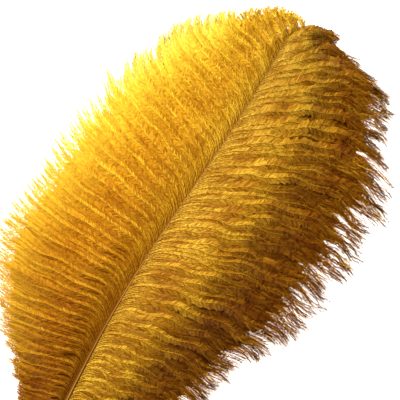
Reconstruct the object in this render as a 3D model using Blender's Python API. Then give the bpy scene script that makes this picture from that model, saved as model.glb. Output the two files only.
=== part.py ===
"""An ostrich plume, lying face up on a flat surface.

The feather runs along +Y from the cut end of its quill to its curled tip, with +Z up. It is
three solids: the shaft, which is quill and rachis grown as one, and the soft vane on each
side of it. Each vane is a thin sheet that leaves the shaft, rises to a low crest and droops
until the ends of its barbs lie flat on the surface.
"""

import math

import bmesh
import bpy
from mathutils import Vector

# Shaft
QUILL_LENGTH = 0.090  # bare quill below the first barbs
VANED_LENGTH = 0.365  # rachis that carries barbs
QUILL_RADIUS = 0.0027
VANE_START_RADIUS = 0.0021
TIP_RADIUS = 0.0004
NIB_LENGTH = 0.010  # blunt cone at the cut end
NIB_RADIUS = 0.0011
SHAFT_POINTS = 72
LIFT = 0.0002  # keeps the quill's end just clear of the surface that the vanes lie on
ARCH_HEIGHT = 0.034  # how far the rachis bows up off the surface
ARCH_PLACE = 0.29  # distance from the cut end to the top of the bow
ARCH_SPAN = 0.22  # distance over which it comes down again
ARCH_FALL = 0.85  # share of the bow that would be lost over that span
SWAY = math.radians(3.9)  # sideways wander of the rachis
SWAY_PLACE = 0.57  # share of the vaned length where it leans most
HOOK = math.radians(44)  # turn of the last stretch of rachis
HOOK_SHARE = 0.075  # that stretch, as a share of the vaned length

# Vanes
GAP = 0.0006  # clearance between a vane and the shaft, which both turn at the hook
ROOT_THICKNESS = 0.0026
EDGE_SHARE = 0.45  # thickness at the outer edge, as a share of the root's
ROWS = 46  # steps along the rachis
COLUMNS = 14  # steps from the rachis to the barb ends
FLAT_FROM = 0.88  # share of a barb beyond which it lies on the surface
CREST = 0.011  # rise of a vane beside the rachis
CREST_FALL = 0.92  # share of that rise that is lost towards the tip
MOST_DROOP = 0.5  # the most that a barb comes down, as a share of its length

LEFT = -1
RIGHT = 1


def smooth(low, high, value):
    """0 below low, 1 above high, and an even S between them."""
    share = min(max((value - low) / (high - low), 0), 1)
    return share * share * (3 - 2 * share)


def heading_point(heading, step):
    """The step made in plan at a heading measured from +Y towards +X."""
    return Vector((math.sin(heading) * step, math.cos(heading) * step, 0))


def shaft_radius(distance):
    """Nib, nearly even quill, then a long taper to the tip."""
    if distance < NIB_LENGTH:
        return NIB_RADIUS + (QUILL_RADIUS - NIB_RADIUS) * math.sin(distance / NIB_LENGTH * math.pi / 2)
    if distance < QUILL_LENGTH:
        along = (distance - NIB_LENGTH) / (QUILL_LENGTH - NIB_LENGTH)
        return QUILL_RADIUS + (VANE_START_RADIUS - QUILL_RADIUS) * along**2
    along = (distance - QUILL_LENGTH) / VANED_LENGTH
    return VANE_START_RADIUS + (TIP_RADIUS - VANE_START_RADIUS) * along**0.85


def shaft_height(distance):
    """Height of the shaft's axis: on the surface at the cut end, bowed up along the vanes."""
    lying = LIFT + NIB_RADIUS + (QUILL_RADIUS - NIB_RADIUS) * smooth(0, NIB_LENGTH, distance)
    rise = smooth(0, ARCH_PLACE, distance)
    fall = ARCH_FALL * smooth(ARCH_PLACE, ARCH_PLACE + ARCH_SPAN, distance)
    return lying + ARCH_HEIGHT * (rise - fall)


def shaft_sway(along):
    """Plan direction of the shaft without its hook."""
    return SWAY * math.cos(2 * math.pi * (along - SWAY_PLACE))


def shaft_heading(distance):
    """Plan direction of the shaft, with the hook at its tip."""
    along = (distance - QUILL_LENGTH) / VANED_LENGTH
    return shaft_sway(along) + HOOK * smooth(1 - HOOK_SHARE, 1, along)


def shaft_point(distance):
    """A point on the shaft's axis, found by walking along it from the cut end."""
    steps = max(1, round(distance / 0.001))
    step = distance / steps
    point = Vector((0, 0, 0))
    for number in range(steps):
        point += heading_point(shaft_heading((number + 0.5) * step), step)
    point.z = shaft_height(distance)
    return point


def barb_length(side, along):
    """Barb length at a share of the vaned rachis: short at both ends, longer on the right."""
    if side == LEFT:
        full = 0.024 + 0.091 * smooth(-0.04, 0.34, along)
        return full * (1 - 0.95 * (max(along - 0.44, 0) / 0.56) ** 2.15)
    full = 0.052 + 0.096 * smooth(-0.12, 0.54, along)
    return full - 0.036 * smooth(0.62, 0.80, along) - 0.084 * smooth(0.80, 0.99, along)


def barb_heading(side, along, share):
    """Plan direction of a barb, from +Y towards +X, at a share of the barb's length."""
    if side == LEFT:
        near_tip = smooth(0.86, 1, along)
        start = -40 + math.degrees(HOOK) * smooth(1 - HOOK_SHARE, 1, along)
        middle = -106 + 16 * smooth(0.08, 0.42, along) + 18 * smooth(0.36, 0.62, along) + 30 * near_tip
        end = -88 + 36 * smooth(0.15, 0.70, along) - 8 * smooth(0.75, 0.90, along) + 60 * near_tip
        turn = start + (middle - start) * smooth(0, 0.22, share) + (end - middle) * smooth(0.55, 1, share)
    else:
        hook = math.degrees(HOOK) * smooth(1 - HOOK_SHARE, 1, along)
        start = 36 + 10 * smooth(0.75, 1, along) + 0.5 * hook
        middle = 84 - 28 * smooth(0.10, 0.75, along) - 4 * smooth(0.75, 0.90, along) + 0.4 * hook
        end = 98
        turn = start + (middle - start) * smooth(0, 0.15, share) + (end - middle) * smooth(0.35, 1, share)
    return shaft_sway(along) + math.radians(turn)


def barb_height(side, distance, share):
    """Underside of the vane: up to a crest beside the rachis, then down to the surface."""
    root = shaft_height(distance) - ROOT_THICKNESS / 2
    along = (distance - QUILL_LENGTH) / VANED_LENGTH
    length = barb_length(side, along)
    drop = min(root, MOST_DROOP * length)
    crest = CREST * smooth(0, 0.27, along) * (1 - CREST_FALL * smooth(0.30, 0.75, along))
    crest = min(crest, MOST_DROOP / 4 * length)
    droop_from = 0.22 if side == LEFT else 0.30
    hump = crest * abs(math.sin(math.pi * min(share / FLAT_FROM, 1))) ** 1.5
    return max(root - drop * smooth(droop_from, FLAT_FROM, share) + hump, 0)


def barb_points(side, along):
    """The underside of one barb, from beside the shaft to the barb's end."""
    distance = QUILL_LENGTH + VANED_LENGTH * along
    square = shaft_heading(distance) + side * math.pi / 2
    point = shaft_point(distance) + heading_point(square, shaft_radius(distance) + GAP)
    step = barb_length(side, along) / COLUMNS
    points = []
    for column in range(COLUMNS + 1):
        point.z = barb_height(side, distance, column / COLUMNS)
        points.append(point.copy())
        point = point + heading_point(barb_heading(side, along, (column + 0.5) / COLUMNS), step)
    return points


def material(name, colour, roughness):
    """A plain Principled material."""
    made = bpy.data.materials.new(name)
    made.use_nodes = True
    shader = made.node_tree.nodes["Principled BSDF"]
    shader.inputs["Base Color"].default_value = (*colour, 1)
    shader.inputs["Roughness"].default_value = roughness
    shader.inputs["Metallic"].default_value = 0
    made.diffuse_color = (*colour, 1)
    return made


def make_shaft(parent):
    """Quill and rachis: one tapering tube with closed ends."""
    curve = bpy.data.curves.new("shaft", "CURVE")
    curve.dimensions = "3D"
    curve.bevel_depth = 1
    curve.bevel_resolution = 3
    curve.use_fill_caps = True
    spline = curve.splines.new("POLY")
    spline.points.add(SHAFT_POINTS - 1)
    length = QUILL_LENGTH + VANED_LENGTH
    for number, point in enumerate(spline.points):
        distance = length * number / (SHAFT_POINTS - 1)
        point.co = (*shaft_point(distance), 1)
        point.radius = shaft_radius(distance)
    curve.materials.append(material("quill", (0.42, 0.22, 0.06), 0.4))
    shaft = bpy.data.objects.new("shaft", curve)
    shaft.parent = parent
    bpy.context.collection.objects.link(shaft)
    return shaft


def make_vane(name, side, parent):
    """One vane: its underside as a grid of barbs, extruded upwards, thinner at the outer edge."""
    builder = bmesh.new()
    thickness = builder.verts.layers.float.new("thickness")
    rows = []
    for row in range(ROWS + 1):
        verts = [builder.verts.new(point) for point in barb_points(side, row / ROWS)]
        for column, vert in enumerate(verts):
            vert[thickness] = ROOT_THICKNESS * (1 - (1 - EDGE_SHARE) * column / COLUMNS)
        rows.append(verts)
    for near, far in zip(rows, rows[1:]):
        for column in range(COLUMNS):
            builder.faces.new([near[column], near[column + 1], far[column + 1], far[column]])
    extruded = bmesh.ops.extrude_face_region(builder, geom=builder.faces[:], use_keep_orig=True)
    for item in extruded["geom"]:
        if isinstance(item, bmesh.types.BMVert):
            item.co.z += item[thickness]
    bmesh.ops.recalc_face_normals(builder, faces=builder.faces[:])
    mesh = bpy.data.meshes.new(name)
    builder.to_mesh(mesh)
    builder.free()
    mesh.materials.append(material(name + "_barbs", (0.62, 0.33, 0.03), 0.7))
    vane = bpy.data.objects.new(name, mesh)
    vane.parent = parent
    bpy.context.collection.objects.link(vane)
    return vane


def stand_on_origin(parent, objects):
    """Moves the parent so that the origin is the middle of the underside of the feather's box."""
    bpy.context.view_layer.update()
    scene_graph = bpy.context.evaluated_depsgraph_get()
    corners = []
    for item in objects:
        shown = item.evaluated_get(scene_graph)
        mesh = shown.to_mesh()
        corners += [shown.matrix_world @ vertex.co for vertex in mesh.vertices]
        shown.to_mesh_clear()
    low = Vector([min(corner[axis] for corner in corners) for axis in range(3)])
    high = Vector([max(corner[axis] for corner in corners) for axis in range(3)])
    parent.location = (-(low.x + high.x) / 2, -(low.y + high.y) / 2, -low.z)


def main():
    for item in list(bpy.data.objects):
        bpy.data.objects.remove(item, do_unlink=True)
    feather = bpy.data.objects.new("feather", None)
    bpy.context.collection.objects.link(feather)
    pieces = [
        make_shaft(feather),
        make_vane("left_vane", LEFT, feather),
        make_vane("right_vane", RIGHT, feather),
    ]
    stand_on_origin(feather, pieces)


main()
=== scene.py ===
import math

import bpy
import numpy as np
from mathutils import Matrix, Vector


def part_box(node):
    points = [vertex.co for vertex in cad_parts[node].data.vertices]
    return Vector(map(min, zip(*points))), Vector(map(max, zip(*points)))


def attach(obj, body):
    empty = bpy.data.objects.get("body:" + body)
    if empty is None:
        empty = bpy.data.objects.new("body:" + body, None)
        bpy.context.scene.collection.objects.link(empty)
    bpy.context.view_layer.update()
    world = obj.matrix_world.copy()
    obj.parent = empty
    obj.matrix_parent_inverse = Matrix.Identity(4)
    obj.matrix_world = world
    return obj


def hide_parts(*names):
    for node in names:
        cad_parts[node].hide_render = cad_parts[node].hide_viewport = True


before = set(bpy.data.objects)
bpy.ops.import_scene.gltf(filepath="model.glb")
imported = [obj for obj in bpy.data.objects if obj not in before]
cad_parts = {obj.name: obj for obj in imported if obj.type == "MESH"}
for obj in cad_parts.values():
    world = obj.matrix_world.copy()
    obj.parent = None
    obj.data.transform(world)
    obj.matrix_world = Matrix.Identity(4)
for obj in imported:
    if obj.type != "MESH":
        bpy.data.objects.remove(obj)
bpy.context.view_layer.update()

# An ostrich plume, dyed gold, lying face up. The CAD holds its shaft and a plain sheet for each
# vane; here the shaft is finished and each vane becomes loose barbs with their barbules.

SHAFT_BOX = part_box("shaft")
RANDOM = np.random.default_rng(7)

# The shaft and the barbs' lie, as the CAD has them
QUILL_LENGTH = 0.090
VANED_LENGTH = 0.365
QUILL_RADIUS = 0.0027
VANE_START_RADIUS = 0.0021
TIP_RADIUS = 0.0004
NIB_LENGTH = 0.010
NIB_RADIUS = 0.0011
LIFT = 0.0002
ARCH_HEIGHT = 0.034
ARCH_PLACE = 0.29
ARCH_SPAN = 0.22
ARCH_FALL = 0.85
SWAY = math.radians(3.9)
SWAY_PLACE = 0.57
HOOK = math.radians(44)
HOOK_SHARE = 0.075
CREST = 0.011
CREST_FALL = 0.92
MOST_DROOP = 0.5
FLAT_FROM = 0.88
SHAFT_STEP = 0.001  # spacing of the points that the shaft's path is read from

LEFT = -1
RIGHT = 1

# Barbs
BARB_SPACING = 0.0017  # along the rachis
BARB_STEPS = 32  # along a barb
BARB_WIDTH = (0.00080, 0.00062)  # of an uppermost barb of a strand, and of the others
BARB_TAPER = 0.35  # share of its width that a barb loses along its length
BARB_POINT = 0.70  # and then at its very end
LOWEST_BARB = 0.0008  # least height of a barb's centre line
TRIM = 0.97  # barb length as a share of the CAD's, whose edge is where the barbules end
UNEVEN_LENGTH = (0.015, 0.045)  # random parts of it: one that drifts along the vane, and a barb's own
LEFT_EXTRA = 0.10  # share by which the left vane's barbs are longer towards the tip
LEFT_CURL = 60  # degrees by which their ends turn forwards there
OFF_RIDGE = 0.86  # distance of the barbs' roots from the top of the shaft, as a share of its radius
OFF_RIDGE_LOSS = 0.71  # how much less that is towards the tip
LIE_RISE = 0.0024  # height of the barbs over the CAD sheet's underside
LIE_LOSS = 0.0018  # how much less that is towards the tip
STRAY = {LEFT: 0.6, RIGHT: 0.9}  # degrees by which barbs leave their course
WAVE_LENGTH = 0.034  # of the waves along a barb
WAVE_TURN = 3  # degrees by which they turn it

# Strands: neighbouring barbs that cling together, with one of them uppermost
LOCK_SIZES = {LEFT: (3, 6), RIGHT: (2, 6)}  # barbs in a strand
LOCK_PULL = 0.40  # how far they are drawn together
TIP_PULL = {LEFT: 0.12, RIGHT: 0.05}  # the same at the outer ends
TOUSLE = {LEFT: 0.0003, RIGHT: 0.0012}  # sideways wander of a strand as a whole
LOOSE_BASE = {LEFT: 0, RIGHT: 0.25}  # share by which strands are looser near the base of the vane
CROWN_RISE = {LEFT: 0.0014, RIGHT: 0.0019}  # height of the uppermost barb over the others
SWELL = 0.30  # share of it that comes and goes along the barb
UNEVEN_RISE = {LEFT: 0.0004, RIGHT: 0.0012}  # random part of a strand's height

# Barbules: a web of short ones that stay together, and long loose ones over it
BARE_BASE = (0.03, 0.16)  # shares of a barb over which its loose barbules grow
BARE_TIP = {LEFT: (0.86, 1.00), RIGHT: (0.77, 0.90)}  # and over which all of them dwindle
BARE_TIP_LOSS = 0.72  # share of their length that they lose there
FULL_BARB = 0.04  # barbs that are shorter than this have shorter barbules
WEB_STEPS = 64
WEB_END = 0.96  # share of a barb that the web reaches
WEB_FADE = (0.72, 0.89)  # shares over which it narrows
WEB_REACH = 0.0066
WEB_RAGGED = 0.18  # random share of its reach
WEB_DROP = 0.45  # how far it hangs, as a share of its reach
LOWEST_WEB = 0.0004  # least height of its edge
BARBULE_SPACING = (0.00028, 0.00046)  # along one side of an uppermost barb, and of the others
BARBULE_LENGTH = (0.0048, 0.0056)
BARBULE_WIDTH = 0.00036
BARBULE_PARTS = (0.42, 0.58)  # shares of its length before and after a barbule's bend
LOWEST_BARBULE = 0.0003
CLUMP = 6  # neighbouring barbules that cling together
CLUMP_PULL = (0.55, 0.90)  # how far they are drawn together, at their bends and tips
FEWEST_CLUMPS = 3  # on one side of a barb
SPREAD = {LEFT: (0.73, 0.50), RIGHT: (0.84, 0.60)}  # radians from the barb, at a barbule's root and tip
FRINGE = (0.80, 0.96)  # shares of a barb over which the barbules close up to it
FRINGE_CLOSE = (0.65, 0.85)  # shares of the spread that they lose there, at root and tip
LEAN = (4, 5)  # degrees by which the barbules of a clump lean as one, at root and tip
WAVER = (3, 4)  # and each by itself
HANG = -12  # degrees of a barbule's root from level
UNEVEN_HANG = (6, 3)  # random parts of that: a clump's, and a barbule's own
DROOP = 20  # degrees by which its tip hangs lower
ROLL = (12, 10)  # degrees of its turn about its length: random, and towards its side

# Places across a barb's row of the colour map, where its tones paint shade: darkest at the under layer
# and on the lower barbs, as if shaded by the uppermost one, with a painted shadow beside that one's rib
UNDER = 0.45  # the under layer, on each side of the middle
LOWER_RIB = 0.11  # the ribs of the lower barbs
LOWER_RIB_FROM = (0.06, 0.20)  # shares of a barb over which a rib moves there from the middle
UPPER_BARBULE = (0.10, 0.20, 0.20, 0.28)  # the corners of a barbule on an uppermost barb
LOWER_BARBULE = (UNDER, UNDER - 0.05, UNDER - 0.05, 0.36)  # and on another

# Fine loose ends along the outer edge
WISPS = {LEFT: 14, RIGHT: 28}  # on each barb
WISP_FROM = (0.68, 0.97)  # shares of the barb between which they start
WISP_END = 1.04  # share of the barb's length that they hardly pass
WISP_ASIDE = 0.0026  # how far from the barb they can start
WISP_LENGTH = {LEFT: 0.012, RIGHT: 0.019}
WISP_WIDTH = 0.00038
WISP_TURN = (7, 16)  # degrees from the barb's course: at the start, and added towards the end
WISP_STEPS = 6
LOWEST_WISP = 0.0007
# On the right, ends that take the colour from further in stand out lighter from the painted shade of the
# outer brown: a painted glow of backlit ends.
PALE_WISPS = {LEFT: 0.35, RIGHT: 0.10}  # share of them that have the colour from further in
PALE_SHIFT = 0.45  # how much further in, as a share of the barb

PIECES = ("base", "middle", "tip")  # joined meshes per vane
# the left vane's pale outer colours are partly dye and partly a painted highlight
SHORT_BARB = 0.07  # barbs of the left vane below this length lack the pale outer colours

# Shaft
SHAFT_RING_STEP = 0.0025
SHAFT_SIDES = 18
SHAFT_SHARE = 0.97  # of the CAD's radius
RACHIS_FROM = (QUILL_LENGTH - 0.02, QUILL_LENGTH + 0.01)  # where the round quill takes its new section
RACHIS_SLIMMER = 0.04
GROOVE = (0.30, 26)  # along the underside: depth as a share of the radius, and half its width in degrees
RIDGE = (0.10, 30)  # the same for the ridge on top
BORE = ((0.004, 0.55), (0.0002, 0.72))  # rings inside the cut end: depth, and share of the nib's radius


def smooth(low, high, value):
    """0 below low, 1 above high, and an even S between them."""
    share = np.clip((value - low) / (high - low), 0, 1)
    return share * share * (3 - 2 * share)


def unit(vectors):
    """Vectors scaled to length 1."""
    return vectors / np.maximum(np.linalg.norm(vectors, axis=-1, keepdims=True), 1e-12)


def plan_direction(heading):
    """Unit vectors in plan, at headings from +Y towards +X."""
    return np.stack([np.sin(heading), np.cos(heading)], axis=-1)


def triangles(quads):
    """Two triangles for each four corners."""
    quads = quads.reshape(-1, 4)
    return np.concatenate([quads[:, [0, 1, 2]], quads[:, [0, 2, 3]]])


def band_triangles(count, steps):
    """The triangles of count bands, each a row of pairs of points with steps between them."""
    number = np.arange(count * (steps + 1) * 2).reshape(count, steps + 1, 2)
    corners = [number[:, :-1, 0], number[:, 1:, 0], number[:, 1:, 1], number[:, :-1, 1]]
    return triangles(np.stack(corners, axis=-1))


# ---------------------------------------------------------------- shaft path


def shaft_radius(distance):
    """Nib, nearly even quill, then a long taper to the tip."""
    in_nib = np.clip(distance / NIB_LENGTH, 0, 1)
    nib = NIB_RADIUS + (QUILL_RADIUS - NIB_RADIUS) * np.sin(in_nib * math.pi / 2)
    in_quill = np.clip((distance - NIB_LENGTH) / (QUILL_LENGTH - NIB_LENGTH), 0, 1)
    quill = QUILL_RADIUS + (VANE_START_RADIUS - QUILL_RADIUS) * in_quill**2
    in_vane = np.clip((distance - QUILL_LENGTH) / VANED_LENGTH, 0, 1)
    rachis = VANE_START_RADIUS + (TIP_RADIUS - VANE_START_RADIUS) * in_vane**0.85
    return np.where(distance < NIB_LENGTH, nib, np.where(distance < QUILL_LENGTH, quill, rachis))


def shaft_height(distance):
    """Height of the shaft's axis: on the surface at the cut end, bowed up along the vanes."""
    lying = LIFT + NIB_RADIUS + (QUILL_RADIUS - NIB_RADIUS) * smooth(0, NIB_LENGTH, distance)
    rise = smooth(0, ARCH_PLACE, distance)
    fall = ARCH_FALL * smooth(ARCH_PLACE, ARCH_PLACE + ARCH_SPAN, distance)
    return lying + ARCH_HEIGHT * (rise - fall)


def shaft_sway(along):
    """Plan direction of the shaft without its hook."""
    return SWAY * np.cos(2 * math.pi * (along - SWAY_PLACE))


def shaft_heading(distance):
    """Plan direction of the shaft, with the hook at its tip, from +Y towards +X."""
    along = (distance - QUILL_LENGTH) / VANED_LENGTH
    return shaft_sway(along) + HOOK * smooth(1 - HOOK_SHARE, 1, along)


def walk_shaft():
    """The shaft's path, set so that its box is the CAD shaft's: distances and points."""
    length = QUILL_LENGTH + VANED_LENGTH
    distance = np.arange(0, length + SHAFT_STEP / 2, SHAFT_STEP)
    heading = shaft_heading(distance[:-1] + SHAFT_STEP / 2)
    steps = plan_direction(heading) * SHAFT_STEP
    plan = np.vstack([[0, 0], np.cumsum(steps, axis=0)])
    radius = shaft_radius(distance)
    low, high = (np.array(corner) for corner in SHAFT_BOX)
    plan[:, 0] += high[0] - (plan[:, 0] + radius * np.cos(shaft_heading(distance))).max()
    plan[:, 1] += low[1] - plan[0, 1]
    return distance, np.column_stack([plan, shaft_height(distance)])


PATH_DISTANCE, PATH_POINTS = walk_shaft()


def shaft_point(distance):
    """Points on the shaft's axis."""
    return np.stack([np.interp(distance, PATH_DISTANCE, values) for values in PATH_POINTS.T], axis=-1)


# ---------------------------------------------------------------- barbs


def barb_length(side, along):
    """Barb length at a share of the vaned rachis: short at both ends, longer on the right."""
    if side == LEFT:
        full = 0.024 + 0.091 * smooth(-0.04, 0.34, along)
        return full * (1 - 0.95 * (np.maximum(along - 0.44, 0) / 0.56) ** 2.15)
    full = 0.052 + 0.096 * smooth(-0.12, 0.54, along)
    return full - 0.036 * smooth(0.62, 0.80, along) - 0.084 * smooth(0.80, 0.99, along)


def barb_heading(side, along, share):
    """Plan direction of a barb, from +Y towards +X, at a share of the barb's length."""
    hook = np.degrees(HOOK) * smooth(1 - HOOK_SHARE, 1, along)
    if side == LEFT:
        near_tip = smooth(0.86, 1, along)
        start = -40 + hook
        middle = -106 + 16 * smooth(0.08, 0.42, along) + 18 * smooth(0.36, 0.62, along) + 30 * near_tip
        end = -88 + 36 * smooth(0.15, 0.70, along) - 8 * smooth(0.75, 0.90, along) + 60 * near_tip
        turn = start + (middle - start) * smooth(0, 0.22, share) + (end - middle) * smooth(0.55, 1, share)
    else:
        start = 36 + 10 * smooth(0.75, 1, along) + 0.5 * hook
        middle = 84 - 28 * smooth(0.10, 0.75, along) - 4 * smooth(0.75, 0.90, along) + 0.4 * hook
        end = 98
        turn = start + (middle - start) * smooth(0, 0.15, share) + (end - middle) * smooth(0.35, 1, share)
    return shaft_sway(along) + np.radians(turn)


def barb_height(side, along, share):
    """Underside of the vane: up to a crest beside the rachis, then down to the surface."""
    distance = QUILL_LENGTH + VANED_LENGTH * along
    root = shaft_height(distance)
    length = barb_length(side, along)
    drop = np.minimum(root, MOST_DROOP * length)
    crest = CREST * smooth(0, 0.27, along) * (1 - CREST_FALL * smooth(0.30, 0.75, along))
    crest = np.minimum(crest, MOST_DROOP / 4 * length)
    droop_from = 0.22 if side == LEFT else 0.30
    hump = crest * np.abs(np.sin(math.pi * np.minimum(share / FLAT_FROM, 1))) ** 1.5
    return np.maximum(root - drop * smooth(droop_from, FLAT_FROM, share) + hump, 0)


def drifting(count, width):
    """One random value per barb, which drifts smoothly over about width barbs."""
    raw = RANDOM.normal(size=count + 6 * width)
    bell = np.exp(-0.5 * (np.arange(-3 * width, 3 * width + 1) / width) ** 2)
    drift = np.convolve(raw, bell, mode="same")[3 * width:3 * width + count]
    return drift / max(drift.std(), 1e-9)


def draw_locks(count, side):
    """The number of the strand that each barb clings to."""
    low, high = LOCK_SIZES[side]
    return np.repeat(np.arange(count), RANDOM.integers(low, high + 1, count))[:count]


def lock_means(values, lock):
    """Each barb's values averaged over its lock."""
    member = (lock[:, None] == np.arange(lock[-1] + 1)[None, :]).astype(float)
    flat = values.reshape(len(values), -1)
    return ((member.T @ flat) / member.sum(axis=0)[:, None])[lock].reshape(values.shape)


SHARES = np.linspace(0, 1, BARB_STEPS + 1)  # of a barb's length, at the points along it


def lay_barbs(side, along, length):
    """Each barb's height at its root on the shaft, and its line in plan."""
    count = len(along)
    middle = ((SHARES[1:] + SHARES[:-1]) / 2)[None, :]
    heading = barb_heading(side, along[:, None], middle)
    stray = np.radians(STRAY[side])
    heading += stray * middle**1.5 * drifting(count, 6)[:, None]
    heading += stray * middle * RANDOM.normal(size=(count, 1))
    phase = 0.8 * drifting(count, 5)[:, None]
    wave = 2 * math.pi * middle * (length[:, None] / WAVE_LENGTH) + phase
    heading += np.radians(WAVE_TURN) * smooth(0, 0.25, middle) * np.sin(wave)
    if side == LEFT:
        near_tip = smooth(0.50, 0.80, along)[:, None]
        heading += np.radians(LEFT_CURL) * smooth(0.86, 1, middle) * near_tip
    distance = QUILL_LENGTH + VANED_LENGTH * along
    square = shaft_heading(distance) + side * math.pi / 2
    off_ridge = OFF_RIDGE - OFF_RIDGE_LOSS * smooth(0.12, 0.62, along)
    radius = shaft_radius(distance)
    root = shaft_point(distance)
    root[:, :2] += plan_direction(square) * (off_ridge * radius)[:, None]
    root[:, 2] += np.sqrt(1 - off_ridge**2) * radius
    steps = plan_direction(heading) * (length / BARB_STEPS)[:, None, None]
    walked = np.concatenate([np.zeros((count, 1, 2)), np.cumsum(steps, axis=1)], axis=1)
    return root[:, 2], root[:, None, :2] + walked


def make_strands(side, along, length, plan):
    """Draws barbs together: which are uppermost, how high they rise, and their lines in plan."""
    count = len(along)
    lock, other_lock = draw_locks(count, side), draw_locks(count, side)
    inner = LOCK_PULL * smooth(0.02, 0.22, SHARES) * (1 - smooth(0.50, 0.75, SHARES))
    outer = TIP_PULL[side] * smooth(0.50, 0.75, SHARES)
    plan = plan + (lock_means(plan, lock) - plan) * inner[None, :, None]
    plan = plan + (lock_means(plan, other_lock) - plan) * outer[None, :, None]
    turn = RANDOM.uniform(0, 2 * math.pi, count)[lock]
    pace = RANDOM.uniform(0.8, 1.3, count)[lock]
    waves = SHARES[None, :] * (length * pace / WAVE_LENGTH)[:, None]
    wander = np.sin(2 * math.pi * waves + turn[:, None])
    loose = 1 + LOOSE_BASE[side] * (1 - smooth(0.25, 0.60, along))
    shift = wander * loose[:, None] * TOUSLE[side] * smooth(0.08, 0.30, SHARES)[None, :]
    square = shaft_heading(QUILL_LENGTH + VANED_LENGTH * along) + side * math.pi / 2
    along_shaft = np.stack([-np.cos(square), np.sin(square)], axis=-1)
    plan = plan + shift[:, :, None] * along_shaft[:, None]
    crown = np.diff(lock, prepend=-1) > 0
    rise = lock_means(UNEVEN_RISE[side] * RANDOM.normal(size=count), lock) * loose
    rise = rise[:, None] + np.where(crown, CROWN_RISE[side], 0)[:, None] * (1 + SWELL * wander)
    return crown, rise, plan


def grow_barbs(side):
    """The centre lines of one vane's barbs, from the base of the vane to its tip."""
    count = int(VANED_LENGTH / BARB_SPACING)
    along = (np.arange(count) + 0.5 + RANDOM.uniform(-0.3, 0.3, count)) / count
    drift, own = UNEVEN_LENGTH
    uneven = 1 + drift * drifting(count, 6) + own * RANDOM.normal(size=count)
    length = TRIM * barb_length(side, along) * uneven
    if side == LEFT:
        length *= 1 + LEFT_EXTRA * smooth(0.50, 0.80, along)
    on_shaft, plan = lay_barbs(side, along, length)
    crown, rise, plan = make_strands(side, along, length, plan)
    rise = rise * smooth(0, 0.25, SHARES)[None, :]
    rise = rise + LIE_RISE - LIE_LOSS * smooth(0.3, 0.7, along)[:, None]
    lie = barb_height(side, along[:, None], SHARES[None, :]) + rise
    height = on_shaft[:, None] + (lie - on_shaft[:, None]) * smooth(0, 0.10, SHARES)[None, :]
    return crown, length, np.dstack([plan, np.maximum(height, LOWEST_BARB)])


def read_along(lines, barb, share):
    """Points and unit tangents of barbs' centre lines at shares of their length."""
    place = np.clip(share, 0, 0.99999) * BARB_STEPS
    number = place.astype(int)
    part = (place - number)[:, None]
    near, far = lines[barb, number], lines[barb, number + 1]
    ahead = lines[barb, np.minimum(number + 2, BARB_STEPS)]
    step = np.linalg.norm(far - near, axis=1)[:, None]
    way = unit(far - near) * (1 - part) + (ahead - near) / step * part
    return near + (far - near) * part, unit(way)


def sides(tangent, hand):
    """Unit vectors to one side of a barb, level, and upwards from it."""
    aside = unit(np.cross(tangent, np.array([0, 0, 1.0]))) * hand
    over = np.cross(aside, tangent) * hand
    return aside, over


def barb_ribs(lines, crown):
    """The barbs themselves: thin three-sided rods that taper to a point."""
    count = len(lines)
    tangent = unit(np.gradient(lines, axis=1))
    aside, over = sides(tangent, 1)
    taper = (1 - BARB_TAPER * SHARES) * (1 - BARB_POINT * smooth(0.95, 1, SHARES))
    radius = np.where(crown, *BARB_WIDTH)[:, None] / 2 * taper
    corners = []
    for angle in (90, 210, 330):
        turn = math.radians(angle)
        offset = (aside * math.cos(turn) + over * math.sin(turn)) * radius[:, :, None]
        corners.append(lines + offset)
    verts = np.stack(corners, axis=2)  # barb, step, corner
    number = np.arange(count * (BARB_STEPS + 1) * 3).reshape(count, BARB_STEPS + 1, 3)
    after = np.roll(number, -1, axis=2)
    quads = np.stack([number[:, :-1], after[:, :-1], after[:, 1:], number[:, 1:]], axis=-1)
    faces = triangles(np.moveaxis(quads, 2, 0))
    along_barb = np.broadcast_to(SHARES[None, :, None], verts.shape[:3])
    # the lower barbs' ribs move off the middle of the row, into its painted shade
    across = 0.5 + np.where(crown, 0, LOWER_RIB)[:, None] * smooth(*LOWER_RIB_FROM, SHARES)
    row = np.broadcast_to((np.arange(count)[:, None] + across)[:, :, None], verts.shape[:3])
    return verts.reshape(-1, 3), faces, along_barb.reshape(-1), row.reshape(-1)


def barbule_reach(side, share, length):
    """Barbule length as a share of the longest: less at a barb's tip and on short barbs."""
    at_tip = 1 - BARE_TIP_LOSS * smooth(*BARE_TIP[side], share)
    return at_tip * np.minimum(1, length / FULL_BARB)


def barb_web(side, lines, length, hand):
    """The barbules of one side of each barb that stay together: a ragged band that hangs from it."""
    count = len(lines)
    barb = np.repeat(np.arange(count), WEB_STEPS + 1)
    share = np.tile(np.linspace(0, WEB_END, WEB_STEPS + 1), count)
    root, tangent = read_along(lines, barb, share)
    aside, over = sides(tangent, hand)
    root = root - over * 0.0002
    ragged = 1 + WEB_RAGGED * RANDOM.normal(size=len(barb))
    reach = WEB_REACH * barbule_reach(side, share, length[barb]) * ragged
    reach *= 1 - smooth(*WEB_FADE, share)
    spread = SPREAD[side][0]
    way = tangent * math.cos(spread) + aside * math.sin(spread) - over * WEB_DROP
    edge = root + unit(way) * reach[:, None]
    edge[:, 2] = np.maximum(edge[:, 2], LOWEST_WEB)
    verts = np.stack([root, edge], axis=1)
    # the web takes the painted shade at the ends of the row
    across = np.array([[UNDER, UNDER - 0.06]]) * hand
    row = barb[:, None] + 0.5 + across
    return verts.reshape(-1, 3), band_triangles(count, WEB_STEPS), np.repeat(share, 2), row.reshape(-1)


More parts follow.
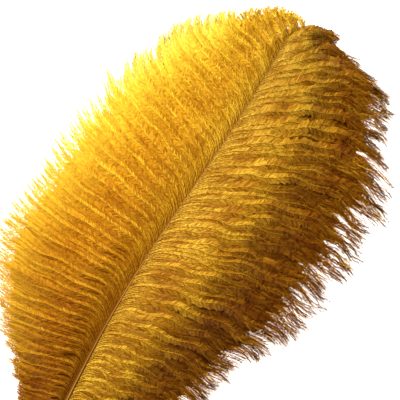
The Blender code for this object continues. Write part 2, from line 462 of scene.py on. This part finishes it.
def barbules(side, lines, length, crown, hand):
    """Loose barbules along one side of each barb: bent blades of four corners."""
    spacing = np.where(crown, *BARBULE_SPACING)
    per_barb = np.maximum((length / spacing / CLUMP).astype(int), FEWEST_CLUMPS) * CLUMP
    barb = np.repeat(np.arange(len(lines)), per_barb)
    count = len(barb)
    first = np.repeat(np.cumsum(per_barb) - per_barb, per_barb)
    share = (np.arange(count) - first + RANDOM.uniform(0.1, 0.9, count)) / per_barb[barb]
    root, tangent = read_along(lines, barb, share)
    aside, over = sides(tangent, hand)
    bunch = np.arange(count) // CLUMP

    def vary(shared, own):
        return shared * RANDOM.normal(size=bunch[-1] + 1)[bunch] + own * RANDOM.normal(size=count)

    def towards(spread, lift):
        flat = tangent * np.cos(spread)[:, None] + aside * np.sin(spread)[:, None]
        return unit(flat * np.cos(lift)[:, None] + over * np.sin(lift)[:, None])

    reach = np.where(crown, *BARBULE_LENGTH)[barb] * barbule_reach(side, share, length[barb])
    reach = reach * np.clip(1 + vary(0.14, 0.08), 0.5, 1.5) * (0.15 + 0.85 * smooth(*BARE_BASE, share))
    lean = vary(1, 0)
    fringe = smooth(*FRINGE, share)
    spread = [
        SPREAD[side][end] * (1 - FRINGE_CLOSE[end] * fringe) + np.radians(LEAN[end]) * lean
        + np.radians(vary(0, WAVER[end]))
        for end in range(2)
    ]
    lift = np.radians(HANG + vary(*UNEVEN_HANG))
    way = towards(spread[1], lift - np.radians(DROOP))
    bend = root + towards(spread[0], lift) * (BARBULE_PARTS[0] * reach)[:, None]
    tip = bend + way * (BARBULE_PARTS[1] * reach)[:, None]
    for points, pull in zip((bend, tip), CLUMP_PULL):
        centre = points.reshape(-1, CLUMP, 3).mean(axis=1)
        points += (centre[bunch] - points) * pull
    roll = np.radians(ROLL[0]) * RANDOM.normal(size=count) - hand * np.radians(ROLL[1])
    across = unit(np.cross(way, over))
    across = across * np.cos(roll)[:, None] + np.cross(across, way) * np.sin(roll)[:, None]
    half = across * (BARBULE_WIDTH / 2 * RANDOM.uniform(0.8, 1.2, count))[:, None]
    verts = np.stack([root, bend - half, bend + half, tip], axis=1)
    verts[:, :, 2] = np.maximum(verts[:, :, 2], LOWEST_BARBULE)
    corner = 4 * np.arange(count)[:, None]
    faces = np.concatenate([corner + [0, 1, 2], corner + [1, 3, 2]])
    # lower barbs' barbules take the painted shade at the ends of the row; those of an uppermost barb a
    # painted shadow at their roots, darkest on the side away from the light
    place = np.where(crown[barb][:, None], np.array([UPPER_BARBULE]), np.array([LOWER_BARBULE]))
    row = barb[:, None] + 0.5 + hand * place
    shared = share.reshape(-1, CLUMP).mean(axis=1)[bunch]
    return verts.reshape(-1, 3), faces, np.repeat(shared, 4), row.reshape(-1)


def wisps(side, lines, length):
    """Fine loose ends near the tips of the barbs: curved blades that taper to a point."""
    barb = np.repeat(np.arange(len(lines)), WISPS[side])
    count = len(barb)
    share = RANDOM.uniform(*WISP_FROM, count)
    root, tangent = read_along(lines, barb, share)
    aside, over = sides(tangent, 1)
    room = (WISP_END - share) * length[barb] * RANDOM.uniform(0.85, 1.05, count)
    reach = np.minimum(WISP_LENGTH[side] * RANDOM.uniform(0.6, 1.3, count), room)
    root = root + aside * RANDOM.uniform(-WISP_ASIDE, WISP_ASIDE, (count, 1)) - over * 0.0003
    part = np.linspace(0, 1, WISP_STEPS + 1)
    turn = np.radians(WISP_TURN[0]) * RANDOM.normal(size=(count, 1))
    turn = turn + np.radians(WISP_TURN[1]) * RANDOM.normal(size=(count, 1)) * part[None, 1:]
    steps = tangent[:, None] * np.cos(turn)[..., None] + aside[:, None] * np.sin(turn)[..., None]
    steps = steps * (reach / WISP_STEPS)[:, None, None]
    line = root[:, None] + np.concatenate([np.zeros((count, 1, 3)), np.cumsum(steps, axis=1)], axis=1)
    line[..., 2] = np.maximum(line[..., 2], LOWEST_WISP)
    half = aside[:, None] * (WISP_WIDTH / 2 * (1 - 0.85 * part**1.5))[None, :, None]
    verts = np.stack([line - half, line + half], axis=2)
    # some ends take the colour from further in; on the right they are lighter than the painted shade
    # around them, a painted glow of backlit ends
    colour_share = np.where(RANDOM.random(count) < PALE_WISPS[side], share - PALE_SHIFT, share)
    each = 2 * (WISP_STEPS + 1)
    faces = band_triangles(count, WISP_STEPS)
    return verts.reshape(-1, 3), faces, np.repeat(colour_share, each), np.repeat(barb + 0.5, each)


def joined_mesh(name, parts, rows_in_piece, material):
    """One mesh from vertex, triangle, share and row arrays, with its colour map as UVs."""
    verts = np.concatenate([part[0] for part in parts])
    offsets = np.cumsum([0] + [len(part[0]) for part in parts[:-1]])
    faces = np.concatenate([part[1] + offset for part, offset in zip(parts, offsets)])
    share = np.concatenate([part[2] for part in parts])
    row = np.concatenate([part[3] for part in parts])
    mesh = bpy.data.meshes.new(name)
    mesh.vertices.add(len(verts))
    mesh.vertices.foreach_set("co", verts.astype(np.float32).ravel())
    mesh.loops.add(faces.size)
    mesh.loops.foreach_set("vertex_index", faces.astype(np.int32).ravel())
    mesh.polygons.add(len(faces))
    mesh.polygons.foreach_set("loop_start", np.arange(0, faces.size, 3, dtype=np.int32))
    mesh.polygons.foreach_set("loop_total", np.full(len(faces), 3, dtype=np.int32))
    layer = mesh.uv_layers.new(name="OFBake")
    uv = np.column_stack([np.clip(share, 0, 1), row / rows_in_piece])[faces.ravel()]
    layer.data.foreach_set("uv", uv.astype(np.float32).ravel())
    mesh.update(calc_edges=True)
    mesh.polygons.foreach_set("use_smooth", np.ones(len(faces), dtype=bool))
    mesh.materials.append(material)
    made = bpy.data.objects.new(name, mesh)
    bpy.context.collection.objects.link(made)
    return made


# ---------------------------------------------------------------- materials


def new_material(name):
    """An empty node material: its nodes, its links and its output."""
    made = bpy.data.materials.new(name)
    made.use_nodes = True
    nodes, links = made.node_tree.nodes, made.node_tree.links
    nodes.clear()
    return made, nodes, links, nodes.new("ShaderNodeOutputMaterial")


def ramp(nodes, stops):
    """A colour ramp with the given positions and colours."""
    node = nodes.new("ShaderNodeValToRGB")
    elements = node.color_ramp.elements
    for element, (position, colour) in ((elements[0], stops[0]), (elements[-1], stops[-1])):
        element.position = position
        element.color = (*colour, 1)
    for position, colour in stops[1:-1]:
        elements.new(position).color = (*colour, 1)
    return node


def math_node(nodes, links, operation, first, second=None):
    """One Math node's output; the second input is a number."""
    node = nodes.new("ShaderNodeMath")
    node.operation = operation
    links.new(first, node.inputs[0])
    if second is not None:
        node.inputs[1].default_value = second
    return node.outputs[0]


def multiplied(nodes, links, first, second, factor=None):
    """Two colours multiplied, by a factor that can vary."""
    mixed = nodes.new("ShaderNodeMix")
    mixed.data_type = "RGBA"
    mixed.blend_type = "MULTIPLY"
    mixed.inputs["Factor"].default_value = 1
    if factor is not None:
        links.new(factor, mixed.inputs["Factor"])
    sockets = [socket for socket in mixed.inputs if socket.type == "RGBA"]
    links.new(first, sockets[0])
    links.new(second, sockets[1])
    return next(socket for socket in mixed.outputs if socket.type == "RGBA")


def stretched_noise(nodes, links, vector, stretch, detail):
    """Noise over the given coordinates, stretched."""
    mapping = nodes.new("ShaderNodeMapping")
    mapping.inputs["Scale"].default_value = stretch
    links.new(vector, mapping.inputs["Vector"])
    noise = nodes.new("ShaderNodeTexNoise")
    noise.inputs["Scale"].default_value = 1
    noise.inputs["Detail"].default_value = detail
    links.new(mapping.outputs["Vector"], noise.inputs["Vector"])
    return noise.outputs["Fac"]


def barb_material(name, look, vane_shade, rows):
    """Dyed barbs: the dye's colour along the barb with painted shade and highlight in it, painted shade
    along the vane and across its row, streaks of barbules.

    Along the U of the colour map is a barb's length, and each barb is one row of its V.
    """
    made, nodes, links, output = new_material(name)
    uv = nodes.new("ShaderNodeUVMap")
    uv.uv_map = "OFBake"
    along = nodes.new("ShaderNodeSeparateXYZ")
    links.new(uv.outputs["UV"], along.inputs[0])
    colour = ramp(nodes, look["colours"])
    links.new(along.outputs["X"], colour.inputs["Fac"])
    tint = ramp(nodes, [(0, vane_shade[0]), (1, vane_shade[1])])
    links.new(along.outputs["Y"], tint.inputs["Fac"])
    scaled = math_node(nodes, links, "MULTIPLY", along.outputs["Y"], rows)
    inside = math_node(nodes, links, "FRACT", scaled)
    contrast = ramp(nodes, [(place, (value,) * 3) for place, value in look["contrast"]])
    links.new(along.outputs["X"], contrast.inputs["Fac"])
    strength = contrast.outputs["Color"]
    layer = ramp(nodes, look["row_shade"])
    links.new(inside, layer.inputs["Fac"])
    shade = multiplied(nodes, links, colour.outputs["Color"], tint.outputs["Color"])
    shade = multiplied(nodes, links, shade, layer.outputs["Color"], strength)
    for per_length, per_barb, detail, dark in look["streaks"]:
        stretch = (per_length, per_barb * rows, 1)
        noise = stretched_noise(nodes, links, uv.outputs["UV"], stretch, detail)
        tone = ramp(nodes, [(0.36, dark), (0.58, (1, 1, 1))])
        links.new(noise, tone.inputs["Fac"])
        shade = multiplied(nodes, links, shade, tone.outputs["Color"], strength)
    body = nodes.new("ShaderNodeBsdfPrincipled")
    body.inputs["Roughness"].default_value = 0.55
    body.inputs["Specular IOR Level"].default_value = 0.06
    links.new(shade, body.inputs["Base Color"])
    through = nodes.new("ShaderNodeBsdfTranslucent")
    links.new(shade, through.inputs["Color"])
    blend = nodes.new("ShaderNodeMixShader")
    blend.inputs["Fac"].default_value = look["translucency"]
    links.new(body.outputs[0], blend.inputs[1])
    links.new(through.outputs[0], blend.inputs[2])
    links.new(blend.outputs[0], output.inputs["Surface"])
    return made


def quill_material():
    """Dyed horn: a pale quill, a brown rachis with a lighter ridge, fine lengthways streaks.

    Along the U of the colour map is the shaft's length, and its V goes round from the underside.
    """
    made, nodes, links, output = new_material("quill_horn")
    uv = nodes.new("ShaderNodeUVMap")
    uv.uv_map = "OFBake"
    place = nodes.new("ShaderNodeSeparateXYZ")
    links.new(uv.outputs["UV"], place.inputs[0])
    shade = ramp(nodes, [
        (0.0, (0.66, 0.45, 0.17)), (0.17, (0.58, 0.35, 0.10)), (0.30, (0.46, 0.24, 0.04)),
        (0.60, (0.44, 0.22, 0.025)), (1.0, (0.50, 0.26, 0.02)),
    ])
    links.new(place.outputs["X"], shade.inputs["Fac"])
    shade = shade.outputs["Color"]
    ridge = ramp(nodes, [
        (0.0, (0.55, 0.45, 0.36)), (0.38, (0.34, 0.23, 0.14)), (0.465, (0.30, 0.20, 0.12)),
        (0.49, (1, 1, 1)), (0.51, (1, 1, 1)), (0.535, (0.30, 0.20, 0.12)),
        (0.62, (0.34, 0.23, 0.14)), (1.0, (0.55, 0.45, 0.36)),
    ])
    links.new(place.outputs["Y"], ridge.inputs["Fac"])
    shade = multiplied(nodes, links, shade, ridge.outputs["Color"])
    for stretch, dark in (((9, 30, 1), (0.70, 0.62, 0.52)), ((60, 5, 1), (0.88, 0.84, 0.78))):
        noise = stretched_noise(nodes, links, uv.outputs["UV"], stretch, 3)
        tone = ramp(nodes, [(0.35, dark), (0.65, (1, 1, 1))])
        links.new(noise, tone.inputs["Fac"])
        shade = multiplied(nodes, links, shade, tone.outputs["Color"])
    body = nodes.new("ShaderNodeBsdfPrincipled")
    body.inputs["Roughness"].default_value = 0.48
    body.inputs["Specular IOR Level"].default_value = 0.12
    links.new(shade, body.inputs["Base Color"])
    links.new(body.outputs[0], output.inputs["Surface"])
    return made


def floor_material():
    """Backlit white acrylic: diffuse, with a little light of its own."""
    made, nodes, links, output = new_material("floor_white")
    noise = nodes.new("ShaderNodeTexNoise")
    noise.inputs["Scale"].default_value = 3
    colour = ramp(nodes, [(0.3, (0.93, 0.93, 0.93)), (0.7, (0.96, 0.96, 0.96))])
    links.new(noise.outputs["Fac"], colour.inputs["Fac"])
    body = nodes.new("ShaderNodeBsdfPrincipled")
    body.inputs["Roughness"].default_value = 0.9
    body.inputs["Emission Color"].default_value = (1, 1, 1, 1)
    body.inputs["Emission Strength"].default_value = FLOOR_GLOW
    links.new(colour.outputs["Color"], body.inputs["Base Color"])
    links.new(body.outputs[0], output.inputs["Surface"])
    return made


# ---------------------------------------------------------------- the feather

LOOKS = {
    LEFT: {
        # along a barb: the gold dye, with painted shade beside the rachis and a pale outer end that is
        # partly dye and partly a painted highlight, with a little blue in it for a painted sheen
        "colours": [
            (0.0, (0.58, 0.37, 0.030)), (0.10, (0.93, 0.74, 0.070)), (0.30, (0.93, 0.73, 0.058)),
            (0.55, (0.96, 0.79, 0.060)), (0.78, (1.0, 0.90, 0.11)), (1.0, (1.0, 0.92, 0.20)),
        ],
        # across a barb's row of the colour map: its rib in the middle, the under layer at both ends.
        # Painted shade: darker at the under layer and on the lower barbs, as if shaded by the uppermost
        # barb, with a painted shadow beside its rib on the side away from the light
        "row_shade": [
            (0.05, (0.60, 0.42, 0.20)), (0.14, (0.74, 0.60, 0.38)), (0.22, (0.92, 0.86, 0.74)),
            (0.29, (0.82, 0.71, 0.52)), (0.36, (0.56, 0.39, 0.20)), (0.42, (0.52, 0.35, 0.17)),
            (0.47, (1, 1, 1)), (0.53, (1, 1, 1)), (0.60, (0.74, 0.62, 0.42)), (0.70, (0.92, 0.86, 0.74)),
            (0.78, (0.82, 0.72, 0.54)), (0.86, (0.72, 0.58, 0.36)), (0.95, (0.60, 0.42, 0.20)),
        ],
        # painted shade along the vane, multiplied in at the ends of the pieces, from the base of the vane
        # to its tip: darker towards the base, where the light falls off
        "vane_shade": [(0.56, 0.33, 0.17), (0.87, 0.65, 0.36), (0.97, 0.86, 0.60), (1, 1, 1)],
        # how strongly the painted shade across the row and the streaks show, along a barb
        "contrast": [(0.48, 1.0), (0.88, 0.35)],
        # noise along the length of a barb, across barbs, its detail and its darkest tone
        "streaks": [
            (60, 2.5, 1, (0.58, 0.42, 0.24)), (4, 0.8, 1, (0.84, 0.74, 0.58)),
            (2.5, 0.09, 1, (0.88, 0.80, 0.66)),
        ],
        "translucency": 0.35,
    },
    RIGHT: {
        # along a barb: the gold dye, turning dark brown towards the outer end as painted shade where the
        # vane slopes away from the light, with a little blue in the inner part for a painted sheen
        "colours": [
            (0.0, (1.0, 0.79, 0.088)), (0.12, (1.0, 0.78, 0.080)), (0.26, (0.94, 0.71, 0.062)),
            (0.42, (0.99, 0.73, 0.056)), (0.66, (0.88, 0.54, 0.026)), (0.88, (0.38, 0.18, 0.010)),
            (1.0, (0.15, 0.065, 0.008)),
        ],
        # painted shade as on the left, with the painted shadow beside the rib on this vane's side away
        # from the light
        "row_shade": [
            (0.05, (0.46, 0.30, 0.14)), (0.14, (0.66, 0.51, 0.31)), (0.24, (0.95, 0.90, 0.80)),
            (0.40, (0.85, 0.76, 0.58)), (0.47, (0.94, 0.87, 0.74)), (0.53, (0.94, 0.87, 0.74)),
            (0.58, (0.52, 0.36, 0.18)), (0.64, (0.58, 0.42, 0.22)), (0.72, (0.88, 0.81, 0.65)),
            (0.78, (0.90, 0.84, 0.70)), (0.86, (0.66, 0.51, 0.31)), (0.95, (0.46, 0.30, 0.14)),
        ],
        # painted shade along the vane, darker towards its tip
        "vane_shade": [(1, 0.97, 0.94), (0.88, 0.79, 0.84), (0.88, 0.83, 0.94), (0.70, 0.67, 0.92)],
        "contrast": [(0.0, 0.90), (0.20, 0.90), (0.42, 0.82), (0.66, 1.0)],
        "streaks": [
            (70, 2.5, 1, (0.46, 0.31, 0.15)), (4, 0.8, 1, (0.84, 0.74, 0.56)),
            (6, 0.22, 2, (0.68, 0.52, 0.33)),
        ],
        "translucency": 0.22,
    },
}


def make_vane(side, name):
    """One vane's barbs and barbules, as joined meshes from its base to its tip."""
    crown, length, lines = grow_barbs(side)
    run = np.cumsum(length)
    bounds = [int(np.searchsorted(run, run[-1] * part / len(PIECES))) for part in range(len(PIECES))]
    bounds.append(len(length))
    look = LOOKS[side]
    for number, place in enumerate(PIECES):
        chosen = slice(bounds[number], bounds[number + 1])
        lines_here, length_here, crown_here = lines[chosen], length[chosen], crown[chosen]
        rows = len(lines_here)
        parts = [barb_ribs(lines_here, crown_here), wisps(side, lines_here, length_here)]
        for hand in (-1, 1):
            parts.append(barb_web(side, lines_here, length_here, hand))
            parts.append(barbules(side, lines_here, length_here, crown_here, hand))
        if side == LEFT:
            full = np.clip(length_here / SHORT_BARB, 0.5, 1)
            parts = [(verts, faces, share * full[row.astype(int)], row)
                     for verts, faces, share, row in parts]
        piece_name = f"{name}_{place}"
        material = barb_material(piece_name, look, look["vane_shade"][number:number + 2], rows)
        piece = joined_mesh(piece_name, parts, rows, material)
        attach(piece, "root")
        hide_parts(f"{name}_vane")


def make_shaft():
    """The shaft: a tube with a ridge on top, a groove along its underside and a hollow cut end."""
    distance = np.arange(0, QUILL_LENGTH + VANED_LENGTH, SHAFT_RING_STEP)
    centre = shaft_point(distance)
    tangent = unit(np.gradient(centre, axis=0))
    aside, over = sides(tangent, 1)
    angle = 2 * math.pi * np.arange(SHAFT_SIDES + 1) / SHAFT_SIDES - math.pi / 2
    from_below = np.abs(angle + math.pi / 2)
    from_below = np.minimum(from_below, 2 * math.pi - from_below)
    groove = GROOVE[0] * np.exp(-((from_below / math.radians(GROOVE[1])) ** 2))
    ridge = RIDGE[0] * np.exp(-(((math.pi - from_below) / math.radians(RIDGE[1])) ** 2))
    deep = smooth(*RACHIS_FROM, distance)[:, None]
    profile = SHAFT_SHARE * (1 - deep * (groove - ridge)[None, :] - RACHIS_SLIMMER * deep)
    radius = shaft_radius(distance)[:, None] * profile
    cosine, sine = np.cos(angle)[None, :, None], np.sin(angle)[None, :, None]
    round_it = aside[:, None] * cosine + over[:, None] * sine
    inside = [centre[0] + tangent[0] * depth + round_it[0] * NIB_RADIUS * share for depth, share in BORE]
    verts = np.concatenate([np.stack(inside), centre[:, None] + round_it * radius[:, :, None]])
    count = len(verts)
    number = np.arange(count * (SHAFT_SIDES + 1)).reshape(count, SHAFT_SIDES + 1)
    quads = np.stack([number[:-1, :-1], number[:-1, 1:], number[1:, 1:], number[1:, :-1]], axis=-1)
    ends = [np.column_stack([np.full(SHAFT_SIDES - 2, ring[0]), ring[1:-2], ring[2:-1]])
            for ring in (number[0], number[-1])]
    faces = np.concatenate([triangles(quads), *ends])
    along = np.concatenate([[0, 0.001], np.linspace(0.002, 1, count - 2)])
    along = np.repeat(along, SHAFT_SIDES + 1)
    around = np.tile(np.linspace(0, 1, SHAFT_SIDES + 1), count)
    part = (verts.reshape(-1, 3), faces, along, around)
    piece = joined_mesh("plume_shaft", [part], 1, quill_material())
    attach(piece, "root")
    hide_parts("shaft")


# ---------------------------------------------------------------- floor, light, camera

VIEW_ALONG = 0.575  # share of the vaned rachis beside the middle of the view
VIEW_ASIDE = 0.009  # how far the middle of the view is to the right of the rachis
VIEW_WIDTH = 0.300
VIEW_TURN = math.radians(30.7)  # the image's right, from +X towards +Y
VIEW_HEIGHT = 1.5  # of the camera over the level at which the view has its width
VIEW_LEVEL = 0.02
SENSOR_WIDTH = 36
FLOOR_HALF = 3.0
FLOOR_GLOW = 0.80
KEY_ANGLE = 132  # degrees, counterclockwise from the image's right
KEY_ELEVATION = 51
KEY_DISTANCE = 0.55
KEY_SIZE = 0.15
KEY_POWER = 7.2
WORLD_COLOUR = (1.0, 0.84, 0.60)
WORLD_STRENGTH = 0.62


def add_floor():
    """A pale floor far wider than the view."""
    mesh = bpy.data.meshes.new("floor")
    corners = [(x * FLOOR_HALF, y * FLOOR_HALF, 0) for x, y in ((-1, -1), (1, -1), (1, 1), (-1, 1))]
    mesh.from_pydata(corners, [], [(0, 1, 2, 3)])
    mesh.materials.append(floor_material())
    floor = bpy.data.objects.new("floor", mesh)
    bpy.context.collection.objects.link(floor)


def add_key_light(middle):
    """A square soft light that faces the middle of the view."""
    light = bpy.data.lights.new("key", "AREA")
    light.size = KEY_SIZE
    light.energy = KEY_POWER
    made = bpy.data.objects.new("key", light)
    turn, tilt = VIEW_TURN + math.radians(KEY_ANGLE), math.radians(KEY_ELEVATION)
    level = math.cos(tilt)
    way = np.array([math.cos(turn) * level, math.sin(turn) * level, math.sin(tilt)])
    made.location = middle + way * KEY_DISTANCE
    made.rotation_euler = Vector(way).to_track_quat("Z", "Y").to_euler()
    bpy.context.collection.objects.link(made)


def add_camera(middle):
    """Looks straight down, turned so that the shaft runs up and to the right."""
    camera = bpy.data.cameras.new("camera")
    camera.sensor_width = SENSOR_WIDTH
    camera.lens = camera.sensor_width * VIEW_HEIGHT / VIEW_WIDTH
    made = bpy.data.objects.new("camera", camera)
    made.location = (middle[0], middle[1], VIEW_HEIGHT + VIEW_LEVEL)
    made.rotation_euler = (0, 0, VIEW_TURN)
    bpy.context.collection.objects.link(made)
    bpy.context.scene.camera = made


def add_world():
    """Even warm surroundings."""
    world = bpy.data.worlds.new("world")
    world.use_nodes = True
    background = world.node_tree.nodes["Background"]
    background.inputs["Color"].default_value = (*WORLD_COLOUR, 1)
    background.inputs["Strength"].default_value = WORLD_STRENGTH
    bpy.context.scene.world = world


make_vane(LEFT, "left")
make_vane(RIGHT, "right")
make_shaft()
add_floor()
view_middle = shaft_point(QUILL_LENGTH + VANED_LENGTH * VIEW_ALONG)
view_middle[0] += VIEW_ASIDE
add_key_light(view_middle)
add_camera(view_middle)
add_world()
bpy.context.scene.view_settings.view_transform = "Standard"
